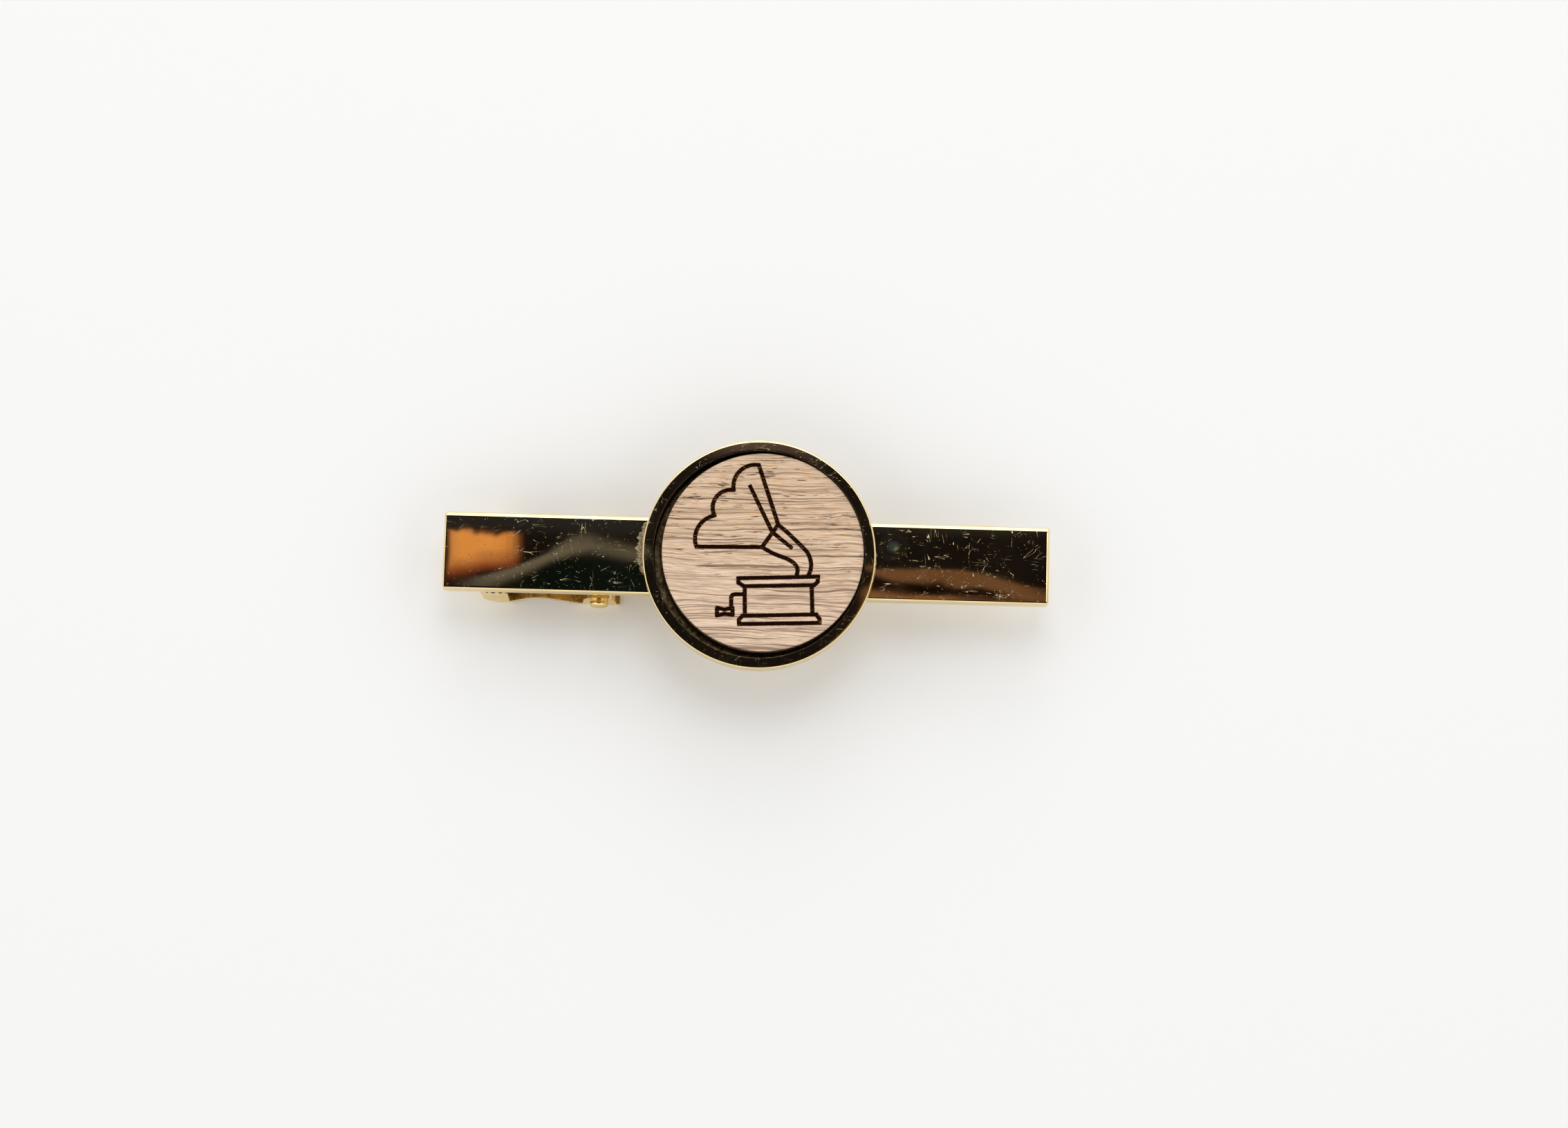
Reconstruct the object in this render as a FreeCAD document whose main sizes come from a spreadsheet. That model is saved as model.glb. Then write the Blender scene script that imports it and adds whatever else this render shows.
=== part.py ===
import FreeCAD, Part
import math
import os

import Sketcher

# Tie clip: a polished bar with a round tray soldered across its middle, an
# engraved wooden disc glued into the tray, and a sprung alligator clip on the
# bar's back.  Millimetres and degrees.  +X runs along the bar, +Y across it and
# +Z out of its face.  The clip's lowest lines lie at Z = 0, and X = Y = 0 is the
# middle of the bar.

SIZES = [
    # bar
    ("bar_length", 52.2, "length of the bar"),
    ("bar_width", 6.8, "width of the bar"),
    ("bar_gauge", 1.2, "thickness of the bar"),
    ("bar_edge", 0.18, "rounding of the bar's front edges and corners"),
    ("bar_back", 4.4, "height of the bar's back face above the lowest line"),
    # tray
    ("tray_outer", 20.0, "outside diameter of the tray"),
    ("tray_inner", 18.15, "inside diameter of the tray"),
    ("tray_height", 1.7, "height of the tray's rim above its underside"),
    ("tray_floor", 0.45, "thickness of the tray's floor"),
    ("tray_shift", 1.1, "tray centre along the bar from the bar's middle"),
    ("rim_outer_edge", 0.22, "rounding of the rim's outer edge"),
    ("rim_inner_edge", 0.12, "rounding of the rim's inner edge"),
    ("tray_foot_edge", 0.45, "rounding of the tray's lower outer edge"),
    ("solder_film", 0.06, "thickness of a soldered joint"),
    ("solder_inset", 0.35, "how far a soldered joint stops short of its face"),
    # disc
    ("disc_diameter", 17.35, "diameter of the wooden disc"),
    ("disc_recess", 0.15, "how far the disc lies below the rim"),
    ("disc_wall_gap", 0.03, "closest distance from the disc to the tray wall"),
    ("disc_lean_angle", 33.5, "direction in which the disc sits off centre"),
    ("glue_film", 0.10, "thickness of the glue under the disc"),
    ("glue_inset", 0.60, "how far the glue stops short of the disc's edge"),
    # hinge
    ("pin_place", -12.7, "hinge pin along the bar from the bar's middle"),
    ("pin_radius", 0.50, "radius of the hinge pin"),
    ("pin_head_overhang", 0.30, "how far the pin's peened heads stand out round it"),
    ("pin_head_height", 0.55, "height of the pin's peened heads"),
    ("pin_head_edge", 0.25, "rounding of the pin's heads"),
    ("pin_running_gap", 0.04, "radial clearance of the pin in the bracket"),
    ("ear_side_gap", 0.05, "side clearance between the lever's and bracket's ears"),
    # lever
    ("lever_gauge", 0.5, "thickness of the lever's sheet"),
    ("jaw_width", 6.7, "width of the lever's jaw arm"),
    ("jaw_reach", 9.95, "jaw tip from the pin"),
    ("jaw_gap", 0.03, "gap between the closed teeth and the bar"),
    ("jaw_curl", 1.5, "bend radius of the curled jaw tip"),
    ("jaw_lean", 0.25, "how far the jaw's tip leans out over its belly"),
    ("belly_length", 1.9, "length of the jaw's belly"),
    ("belly_bend", 0.9, "bend radius behind the jaw's belly"),
    ("neck_run", 2.5, "raised neck of the arm from the rear of the belly"),
    ("neck_gap", 1.45, "gap between the neck and the bar"),
    ("neck_bend", 1.5, "bend radius over the neck"),
    ("arm_root", 0.45, "where the arm leaves the hinge flat, from the ears"),
    ("arm_bend", 2.0, "bend radius where the arm meets the hinge flat"),
    ("tooth_height", 0.75, "height of the jaw's teeth"),
    ("tooth_pitch", 0.62, "spacing of the teeth along the jaw's sides"),
    ("tooth_count", 3, "teeth along each side of the jaw"),
    ("tip_notches", 5, "notches across the jaw's tip"),
    ("tip_notch_depth", 0.5, "depth of the notches across the jaw's tip"),
    ("ear_wall", 0.75, "sheet left round the pin in the lever's ears"),
    ("tab_width", 4.4, "width of the thumb tab"),
    ("tab_crest", 7.4, "crest of the thumb tab from the pin"),
    ("tab_rise", 0.45, "height of the thumb tab's crest over its flat"),
    ("tab_reach", 14.25, "end of the thumb tab from the pin"),
    ("tab_lip_length", 1.4, "length of the turned-up end of the thumb tab"),
    ("tab_lip", 0.25, "how far the end of the thumb tab turns up"),
    ("tab_bend", 8.0, "bend radius of the thumb tab"),
    ("tab_heel_bend", 2.0, "bend radius at the thumb tab's heel"),
    ("tab_corner", 1.6, "rounding of the thumb tab's corners in plan"),
    ("grip_count", 4, "grip grooves across the thumb tab"),
    ("grip_pitch", 0.8, "spacing of the grip grooves"),
    ("grip_radius", 0.2, "radius of the grip grooves"),
    # bracket
    ("bracket_gauge", 0.5, "thickness of the bracket's sheet"),
    ("bracket_ear_wall", 0.51, "sheet left round the pin in the bracket's ears"),
    ("bracket_foot", 0.65, "how far the bracket's base reaches beyond its ears"),
    ("bracket_floor_gap", 0.2, "clearance of the bracket's ears over the lever"),
    # spring
    ("wire_radius", 0.18, "radius of the spring wire"),
    ("coil_gap", 0.07, "clearance of the spring's coil round the pin"),
    ("coil_pitch", 0.40, "spacing of the spring's turns"),
    ("coil_turns", 5, "whole turns of the spring"),
    ("spring_gap", 0.04, "clearance of the spring's legs from what they press"),
    ("upper_leg", 4.6, "reach of the spring's leg along the bar"),
    ("lower_leg", 6.4, "reach of the spring's leg along the thumb tab"),
]

doc = FreeCAD.newDocument("tie_clip")
sheet = doc.addObject("Spreadsheet::Sheet", "Sizes")
for row, (alias, amount, meaning) in enumerate(SIZES, start=1):
    sheet.set(f"A{row}", meaning)
    sheet.set(f"B{row}", str(amount))
    sheet.setAlias(f"B{row}", alias)
doc.recompute()


def value(expression):
    """The present value of an expression in the sheet's names."""
    return float(sheet.evalExpression(expression))


def size(alias):
    """A driving dimension as it is written in an expression."""
    return f"Sizes.{alias}"


# heights and widths that several pieces share
PIN_X = size("pin_place")
BORE_RADIUS = "(Sizes.pin_radius + Sizes.pin_running_gap)"
BRACKET_EAR = f"({BORE_RADIUS} + Sizes.bracket_ear_wall)"
COIL_RADIUS = "(Sizes.pin_radius + Sizes.coil_gap + Sizes.wire_radius)"
COIL_OUTSIDE = f"({COIL_RADIUS} + Sizes.wire_radius)"
HINGE_ROOM = f"max({BRACKET_EAR}; {COIL_OUTSIDE})"
PIN_Z = f"(Sizes.lever_gauge + Sizes.bracket_floor_gap + {HINGE_ROOM})"
LEVER_EAR = "(Sizes.pin_radius + Sizes.ear_wall)"
BAR_BACK = size("bar_back")
BAR_FACE = "(Sizes.bar_back + Sizes.bar_gauge)"
TRAY_BASE = "(Sizes.bar_back + Sizes.bar_gauge + Sizes.solder_film)"
GLUE_BASE = "(Sizes.bar_back + Sizes.bar_gauge + Sizes.solder_film + Sizes.tray_floor)"
DISC_BASE = f"({GLUE_BASE} + Sizes.glue_film)"
DISC_GAUGE = "(Sizes.tray_height - Sizes.tray_floor - Sizes.glue_film - Sizes.disc_recess)"
DISC_SHIFT = "((Sizes.tray_inner - Sizes.disc_diameter) / 2 - Sizes.disc_wall_gap)"
DISC_X = f"(Sizes.tray_shift + {DISC_SHIFT} * cos(Sizes.disc_lean_angle * 1deg))"
DISC_Y = f"({DISC_SHIFT} * sin(Sizes.disc_lean_angle * 1deg))"
EAR_INSIDE = "(Sizes.jaw_width / 2 - Sizes.lever_gauge)"
BRACKET_WIDTH = f"(2 * ({EAR_INSIDE} - Sizes.ear_side_gap))"
BRACKET_BASE = "(Sizes.bar_back - Sizes.solder_film)"
BRACKET_REACH = f"({BRACKET_EAR} + Sizes.bracket_foot)"


# ---------------------------------------------------------------- sketches

def new_body(label, x="0", y="0", z="0"):
    """A body named after its piece, standing at a point given by expressions."""
    body = doc.addObject("PartDesign::Body", label)
    body.Label = label
    for axis, expression in zip("xyz", (x, y, z)):
        body.setExpression(f".Placement.Base.{axis}", expression)
    return body


def origin_feature(body, role):
    """One of the body's own origin planes or axes."""
    return next(f for f in body.Origin.OriginFeatures if f.Role == role)


def new_sketch(body, name, plane, offset=None):
    """A sketch flat on one of the body's origin planes, moved off it by offset."""
    sketch = body.newObject("Sketcher::SketchObject", f"{body.Label}_{name}")
    sketch.AttachmentSupport = [(origin_feature(body, plane), "")]
    sketch.MapMode = "FlatFace"
    if offset:
        sketch.setExpression(".AttachmentOffset.Base.z", offset)
    return sketch


def bind(sketch, constraint, expression):
    """Add a dimension to the sketch and tie it to the sheet."""
    index = sketch.addConstraint(constraint)
    sketch.setExpression(f"Constraints[{index}]", expression)


def pin_point(sketch, geometry, end, x, y):
    """Fix one point of the sketch at two expressions."""
    for axis, expression in (("X", x), ("Y", y)):
        distance = value(expression)
        bind(sketch, Sketcher.Constraint(f"Distance{axis}", -1, 1, geometry, end, distance),
             expression)


def circle(sketch, x, y, radius):
    """A circle whose centre and radius are expressions."""
    centre = FreeCAD.Vector(value(x), value(y), 0)
    geometry = sketch.addGeometry(Part.Circle(centre, FreeCAD.Vector(0, 0, 1), value(radius)))
    pin_point(sketch, geometry, 3, x, y)
    bind(sketch, Sketcher.Constraint("Radius", geometry, value(radius)), radius)


def corner_arc(before, corner, after, radius):
    """The arc that rounds a corner: where it starts and ends, and its centre."""
    arriving = (corner - before).normalize()
    leaving = (after - corner).normalize()
    turn = arriving.getAngle(leaving)
    side = 1 if arriving.cross(leaving).z > 0 else -1
    trim = radius * math.tan(turn / 2)
    start = corner - arriving * trim
    end = corner + leaving * trim
    centre = start + FreeCAD.Vector(-arriving.y, arriving.x, 0) * (side * radius)
    return start, end, centre, side


def outline(sketch, corners, closed=True):
    """Straight runs through corners (x, y) or, rounded, (x, y, radius)."""
    points = [FreeCAD.Vector(value(c[0]), value(c[1]), 0) for c in corners]
    count = len(points)
    radii = [value(c[2]) if len(c) > 2 else 0.0 for c in corners]
    leaves = list(points)
    arrives = list(points)
    arcs = {}
    for i in range(count):
        if radii[i] > 0:
            neighbours = points[i - 1], points[i], points[(i + 1) % count]
            arrives[i], leaves[i], centre, side = corner_arc(*neighbours, radii[i])
            arcs[i] = (centre, side)
    run_count = count if closed else count - 1
    runs = []
    for i in range(run_count):
        line = Part.LineSegment(leaves[i], arrives[(i + 1) % count])
        runs.append(sketch.addGeometry(line))
    for i in range(count):
        arriving = runs[i - 1] if closed or i > 0 else None
        leaving = runs[i] if i < run_count else None
        if i in arcs:
            round_corner(sketch, corners[i], points[i], arriving, leaving, arcs[i],
                         arrives[i], leaves[i])
        else:
            if leaving is not None:
                pin_point(sketch, leaving, 1, corners[i][0], corners[i][1])
            if arriving is not None and leaving is not None:
                sketch.addConstraint(Sketcher.Constraint("Coincident", arriving, 2, leaving, 1))
            if leaving is None:
                pin_point(sketch, arriving, 2, corners[i][0], corners[i][1])


def round_corner(sketch, corner, point, arriving, leaving, arc, start, end):
    """An arc tangent to two runs, whose own corner stays fixed at its place."""
    centre, side = arc
    first, last = (start, end) if side > 0 else (end, start)
    radius = (start - centre).Length
    angles = [math.atan2(p.y - centre.y, p.x - centre.x) for p in (first, last)]
    full = Part.Circle(centre, FreeCAD.Vector(0, 0, 1), radius)
    geometry = sketch.addGeometry(Part.ArcOfCircle(full, angles[0], angles[1]))
    mark = sketch.addGeometry(Part.Point(point), True)
    pin_point(sketch, mark, 1, corner[0], corner[1])
    sketch.addConstraint(Sketcher.Constraint("PointOnObject", mark, 1, arriving))
    sketch.addConstraint(Sketcher.Constraint("PointOnObject", mark, 1, leaving))
    near, far = (1, 2) if side > 0 else (2, 1)
    sketch.addConstraint(Sketcher.Constraint("Tangent", arriving, 2, geometry, near))
    sketch.addConstraint(Sketcher.Constraint("Tangent", leaving, 1, geometry, far))
    bind(sketch, Sketcher.Constraint("Radius", geometry, radius), corner[2])


# ---------------------------------------------------------------- features

def pad(body, sketch, length, symmetric=False, reverse=False):
    """Thicken a sketch by an expression."""
    feature = body.newObject("PartDesign::Pad", f"{sketch.Name}_pad")
    feature.Profile = sketch
    feature.setExpression("Length", length)
    if symmetric:
        feature.SideType = "Symmetric"
    feature.Reversed = reverse
    doc.recompute()
    return feature


def pocket(body, sketch, length, symmetric=False, reverse=False):
    """Cut a sketch into the body by an expression, and see that it cuts."""
    before = body.Tip.Shape.Volume
    feature = body.newObject("PartDesign::Pocket", f"{sketch.Name}_pocket")
    feature.Profile = sketch
    feature.setExpression("Length", length)
    if symmetric:
        feature.SideType = "Symmetric"
    feature.Reversed = reverse
    doc.recompute()
    if feature.Shape.Volume > before - 1e-6:
        raise RuntimeError(f"{feature.Name} removes nothing")
    return feature


def revolve(body, sketch):
    """Turn a sketch round the body's Z axis."""
    feature = body.newObject("PartDesign::Revolution", f"{sketch.Name}_turned")
    feature.Profile = sketch
    feature.ReferenceAxis = (origin_feature(body, "Z_Axis"), "")
    feature.Angle = 360
    doc.recompute()
    return feature


def mirror_across(body, feature):
    """Repeat a feature on the other side of the body's XZ plane."""
    copy = body.newObject("PartDesign::Mirrored", f"{feature.Name}_mirrored")
    copy.Originals = [feature]
    copy.MirrorPlane = (origin_feature(body, "XZ_Plane"), "")
    body.Tip = copy
    doc.recompute()
    return copy


def round_edges(body, radius, wanted):
    """Fillet those edges of the body that the test picks out."""
    base = body.Tip
    names = [f"Edge{i}" for i, edge in enumerate(base.Shape.Edges, start=1) if wanted(edge)]
    if not names:
        raise RuntimeError(f"no edge to round on {body.Label}")
    feature = body.newObject("PartDesign::Fillet", f"{base.Name}_rounded")
    feature.Base = (base, names)
    feature.setExpression("Radius", radius)
    doc.recompute()
    return feature


def runs_along(edge, axis):
    """True for a straight edge parallel to an axis."""
    if not isinstance(edge.Curve, Part.Line):
        return False
    return abs(abs(edge.Curve.Direction.dot(axis)) - 1) < 1e-6


def lies_at(edge, height):
    """True for an edge that lies wholly at one local height."""
    box = edge.BoundBox
    return abs(box.ZMin - height) < 1e-4 and abs(box.ZMax - height) < 1e-4


# ---------------------------------------------------------------- front of the clip

def front_bar():
    body = new_body("front_bar", z=BAR_BACK)
    half_x = "Sizes.bar_length / 2"
    half_y = "Sizes.bar_width / 2"
    plan = new_sketch(body, "plan", "XY_Plane")
    outline(plan, [(f"-{half_x}", f"-{half_y}"), (half_x, f"-{half_y}"),
                   (half_x, half_y), (f"-{half_x}", half_y)])
    pad(body, plan, size("bar_gauge"))
    face = value(size("bar_gauge"))
    upright = FreeCAD.Vector(0, 0, 1)
    round_edges(body, size("bar_edge"), lambda e: lies_at(e, face) or runs_along(e, upright))
    return body


def bezel_tray():
    body = new_body("bezel_tray", x=size("tray_shift"), z=TRAY_BASE)
    outer = "Sizes.tray_outer / 2"
    inner = "Sizes.tray_inner / 2"
    section = new_sketch(body, "section", "XZ_Plane")
    outline(section, [("0", "0"),
                      (outer, "0", size("tray_foot_edge")),
                      (outer, size("tray_height"), size("rim_outer_edge")),
                      (inner, size("tray_height"), size("rim_inner_edge")),
                      (inner, size("tray_floor")),
                      ("0", size("tray_floor"))])
    revolve(body, section)
    return body


def tray_solder():
    """The soldered joint where the bar crosses under the tray."""
    body = new_body("tray_solder", x=size("tray_shift"), z=BAR_FACE)
    reach = "(Sizes.tray_outer / 2 - Sizes.tray_foot_edge - Sizes.solder_inset)"
    half_y = "(Sizes.bar_width / 2 - Sizes.bar_edge - Sizes.solder_inset)"
    plan = new_sketch(body, "plan", "XY_Plane")
    circle(plan, "0", "0", reach)
    pad(body, plan, size("solder_film"))
    for name, side in (("upper", 1), ("lower", -1)):
        trim = new_sketch(body, name, "XY_Plane")
        near = half_y if side > 0 else f"-{half_y}"
        far = "Sizes.tray_outer" if side > 0 else "-Sizes.tray_outer"
        outline(trim, [("-Sizes.tray_outer", near), ("Sizes.tray_outer", near),
                       ("Sizes.tray_outer", far), ("-Sizes.tray_outer", far)])
        pocket(body, trim, size("solder_film"), reverse=True)
    return body


def disc_glue():
    body = new_body("disc_glue", x=DISC_X, y=DISC_Y, z=GLUE_BASE)
    plan = new_sketch(body, "plan", "XY_Plane")
    circle(plan, "0", "0", "(Sizes.disc_diameter / 2 - Sizes.glue_inset)")
    pad(body, plan, size("glue_film"))
    return body


def wood_disc():
    body = new_body("wood_disc", x=DISC_X, y=DISC_Y, z=DISC_BASE)
    plan = new_sketch(body, "plan", "XY_Plane")
    circle(plan, "0", "0", "Sizes.disc_diameter / 2")
    pad(body, plan, DISC_GAUGE)
    return body


# ---------------------------------------------------------------- hinge bracket

def bracket_solder():
    body = new_body("bracket_solder", x=PIN_X, z=BRACKET_BASE)
    half_x = f"({BRACKET_REACH} - Sizes.solder_inset)"
    half_y = f"({BRACKET_WIDTH} / 2 - Sizes.solder_inset)"
    plan = new_sketch(body, "plan", "XY_Plane")
    outline(plan, [(f"-{half_x}", f"-{half_y}"), (half_x, f"-{half_y}"),
                   (half_x, half_y), (f"-{half_x}", half_y)])
    pad(body, plan, size("solder_film"))
    return body


def clip_bracket():
    """A channel soldered to the bar, whose two ears carry the pin."""
    body = new_body("clip_bracket", x=PIN_X, z=PIN_Z)
    top = f"({BRACKET_BASE} - {PIN_Z})"
    reach = BRACKET_REACH
    ear = BRACKET_EAR
    side = new_sketch(body, "side", "XZ_Plane")
    shoulder = f"({top} - Sizes.bracket_gauge)"
    outline(side, [(f"-{reach}", top), (f"-{reach}", shoulder),
                   (f"-{ear}", shoulder), (f"-{ear}", f"-{ear}", f"{ear} * 0.98"),
                   (ear, f"-{ear}", f"{ear} * 0.98"), (ear, shoulder),
                   (reach, shoulder), (reach, top)])
    pad(body, side, BRACKET_WIDTH, symmetric=True)
    channel = new_sketch(body, "channel", "XZ_Plane")
    outline(channel, [(f"-2 * {reach}", shoulder), (f"-2 * {reach}", f"-2 * {ear}"),
                      (f"2 * {reach}", f"-2 * {ear}"), (f"2 * {reach}", shoulder)])
    pocket(body, channel, f"({BRACKET_WIDTH} - 2 * Sizes.bracket_gauge)", symmetric=True)
    bore = new_sketch(body, "bore", "XZ_Plane")
    circle(bore, "0", "0", BORE_RADIUS)
    pocket(body, bore, BRACKET_WIDTH, symmetric=True)
    return body


def hinge_pin():
    """A plain pin, peened over outside the lever's ears at both ends."""
    body = new_body("hinge_pin", x=PIN_X, z=PIN_Z)
    shank = new_sketch(body, "shank", "XZ_Plane")
    circle(shank, "0", "0", size("pin_radius"))
    pad(body, shank, size("jaw_width"), symmetric=True)
    head = new_sketch(body, "head", "XZ_Plane", "Sizes.jaw_width / 2")
    circle(head, "0", "0", "(Sizes.pin_radius + Sizes.pin_head_overhang)")
    head_pad = pad(body, head, size("pin_head_height"))
    mirror_across(body, head_pad)
    end = value("Sizes.jaw_width / 2 + Sizes.pin_head_height")
    round_edges(body, size("pin_head_edge"), lambda e: min(abs(e.BoundBox.YMin - end),
                                                          abs(e.BoundBox.YMax + end)) < 1e-4)
    return body


# ---------------------------------------------------------------- lever

# the lever is drawn about the pin: heights and places are measured from its axis
LEVER_FLOOR = f"(Sizes.lever_gauge / 2 - {PIN_Z})"
JAW_TOP = f"(Sizes.bar_back - Sizes.jaw_gap - {PIN_Z})"
NECK_TOP = f"(Sizes.bar_back - Sizes.neck_gap - Sizes.lever_gauge / 2 - {PIN_Z})"
BELLY_FRONT = "(Sizes.jaw_reach - Sizes.jaw_lean)"
BELLY_REAR = f"({BELLY_FRONT} - Sizes.belly_length)"
EAR_FOOT = f"({LEVER_EAR} + Sizes.lever_gauge / 2)"
TAB_HEEL = "(Sizes.tab_reach - Sizes.tab_lip_length)"


def lever_path(body):
    """Middle line of the bent sheet, from the thumb tab's end to the jaw's tip."""
    path = new_sketch(body, "path", "XZ_Plane")
    outline(path, [
        ("(Sizes.tab_reach + Sizes.lever_gauge)", f"({LEVER_FLOOR} + Sizes.tab_lip)"),
        (TAB_HEEL, LEVER_FLOOR, size("tab_heel_bend")),
        (size("tab_crest"), f"({LEVER_FLOOR} + Sizes.tab_rise)", size("tab_bend")),
        (EAR_FOOT, LEVER_FLOOR, size("tab_bend")),
        (f"-({LEVER_EAR} + Sizes.arm_root)", LEVER_FLOOR, size("arm_bend")),
        (f"-({BELLY_REAR} - Sizes.neck_run)", NECK_TOP, size("neck_bend")),
        (f"-{BELLY_REAR}", LEVER_FLOOR, size("belly_bend")),
        (f"-{BELLY_FRONT}", LEVER_FLOOR, size("jaw_curl")),
        ("-Sizes.jaw_reach", JAW_TOP),
    ], closed=False)
    return path


def lever_sheet(body):
    """The sheet itself: a flat section carried along the middle line."""
    path = lever_path(body)
    section = body.newObject("Sketcher::SketchObject", "clip_lever_section")
    section.AttachmentSupport = [(path, "Edge1")]
    section.MapMode = "NormalToEdge"
    doc.recompute()
    normal = section.Placement.Rotation.multVec(FreeCAD.Vector(1, 0, 0))
    across_is_x = abs(normal.y) > 0.5
    half_wide = "Sizes.jaw_width / 2"
    half_thick = "Sizes.lever_gauge / 2"
    half_x, half_y = (half_wide, half_thick) if across_is_x else (half_thick, half_wide)
    outline(section, [(f"-{half_x}", f"-{half_y}"), (half_x, f"-{half_y}"),
                      (half_x, half_y), (f"-{half_x}", half_y)])
    doc.recompute()
    sheet_feature = body.newObject("PartDesign::AdditivePipe", "clip_lever_sheet")
    sheet_feature.Profile = section
    sheet_feature.Spine = (path, [])
    doc.recompute()


def lever_tab(body):
    """Narrow the thumb tab and round its corners in plan."""
    root = f"({LEVER_EAR} + Sizes.lever_gauge)"
    end = size("tab_reach")
    half_tab = "Sizes.tab_width / 2"
    clear = size("jaw_width")
    beyond = f"({end} + {clear})"
    waste = new_sketch(body, "waste", "XY_Plane")
    corner = size("tab_corner")
    outline(waste, [
        (root, f"-{clear}"), (root, f"-{half_tab}", size("lever_gauge")),
        (end, f"-{half_tab}", corner), (end, half_tab, corner),
        (root, half_tab, size("lever_gauge")), (root, clear),
        (beyond, clear), (beyond, f"-{clear}"),
    ])
    pocket(body, waste, "4 * Sizes.bar_back", symmetric=True)


def lever_ears(body):
    """The two ears beside the hinge flat, which the pin is peened through."""
    ear = LEVER_EAR
    side = new_sketch(body, "ear", "XZ_Plane", EAR_INSIDE)
    outline(side, [(f"-{EAR_FOOT}", LEVER_FLOOR), (EAR_FOOT, LEVER_FLOOR),
                   (ear, ear, f"{ear} * 0.9"), (f"-{ear}", ear, f"{ear} * 0.9")])
    ear_pad = pad(body, side, size("lever_gauge"))
    mirror_across(body, ear_pad)
    bore = new_sketch(body, "bore", "XZ_Plane")
    circle(bore, "0", "0", size("pin_radius"))
    pocket(body, bore, size("jaw_width"), symmetric=True)


def lever_teeth(body):
    """Toothed cheeks that rise from both sides of the jaw to the bar's back."""
    pitch = size("tooth_pitch")
    front = "-(Sizes.jaw_reach - Sizes.lever_gauge / 2)"
    low = f"({JAW_TOP} - Sizes.tooth_height)"
    teeth = int(value(size("tooth_count")))
    corners = []
    for tooth in range(teeth):
        corners.append((f"({front} + {tooth} * {pitch})", low))
        corners.append((f"({front} + {tooth + 0.5} * {pitch})", JAW_TOP))
    last = f"({front} + {teeth} * {pitch})"
    corners.append((last, low))
    corners.append((last, LEVER_FLOOR))
    curl = "0.3 * Sizes.jaw_curl"
    corners.append((f"(3 * {curl} - {BELLY_FRONT})", LEVER_FLOOR))
    corners.append((f"({curl} - {BELLY_FRONT})", f"({LEVER_FLOOR} + {curl})"))
    corners.append((front, f"({LEVER_FLOOR} + 3 * {curl})"))
    cheek = new_sketch(body, "cheek", "XZ_Plane", EAR_INSIDE)
    outline(cheek, corners)
    cheek_pad = pad(body, cheek, size("lever_gauge"))
    mirror_across(body, cheek_pad)


def lever_tip(body):
    """V notches that leave a row of teeth across the jaw's tip."""
    count = int(value(size("tip_notches")))
    notches = new_sketch(body, "notches", "YZ_Plane", f"-{BELLY_FRONT}")
    pitch = f"((Sizes.jaw_width - 2 * Sizes.lever_gauge) / {count})"
    above = f"({JAW_TOP} + 0.8 * Sizes.tip_notch_depth)"
    for notch in range(count):
        middle = f"({notch - (count - 1) / 2} * {pitch})"
        outline(notches, [(middle, f"({JAW_TOP} - Sizes.tip_notch_depth)"),
                          (f"({middle} + 0.45 * {pitch})", above),
                          (f"({middle} - 0.45 * {pitch})", above)])
    pocket(body, notches, "2 * Sizes.jaw_curl")


def lever_grip(body):
    """Grooves across the outside of the thumb tab, up to its heel."""
    grooves = new_sketch(body, "grooves", "XZ_Plane")
    for groove in range(int(value(size("grip_count")))):
        back = f"({groove + 1} * Sizes.grip_pitch)"
        climb = f"({back} * Sizes.tab_rise / ({TAB_HEEL} - Sizes.tab_crest))"
        circle(grooves, f"({TAB_HEEL} - {back})",
               f"({LEVER_FLOOR} - Sizes.lever_gauge / 2 + {climb})", size("grip_radius"))
    pocket(body, grooves, size("jaw_width"), symmetric=True)


def clip_lever():
    body = new_body("clip_lever", x=PIN_X, z=PIN_Z)
    lever_sheet(body)
    lever_tab(body)
    lever_ears(body)
    lever_teeth(body)
    lever_tip(body)
    lever_grip(body)
    return body


# ---------------------------------------------------------------- spring

def leg_slope(reach, height, radius, side):
    """Slope of a straight leg that leaves the coil tangent and ends at a point."""
    distance = math.hypot(reach, height)
    return math.atan2(height, reach) - side * math.asin(radius / distance)


def tangent_point(slope, radius, side):
    """Where on the coil's circle a leg of that slope begins."""
    return -side * math.sin(slope) * radius, side * math.cos(slope) * radius


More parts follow.
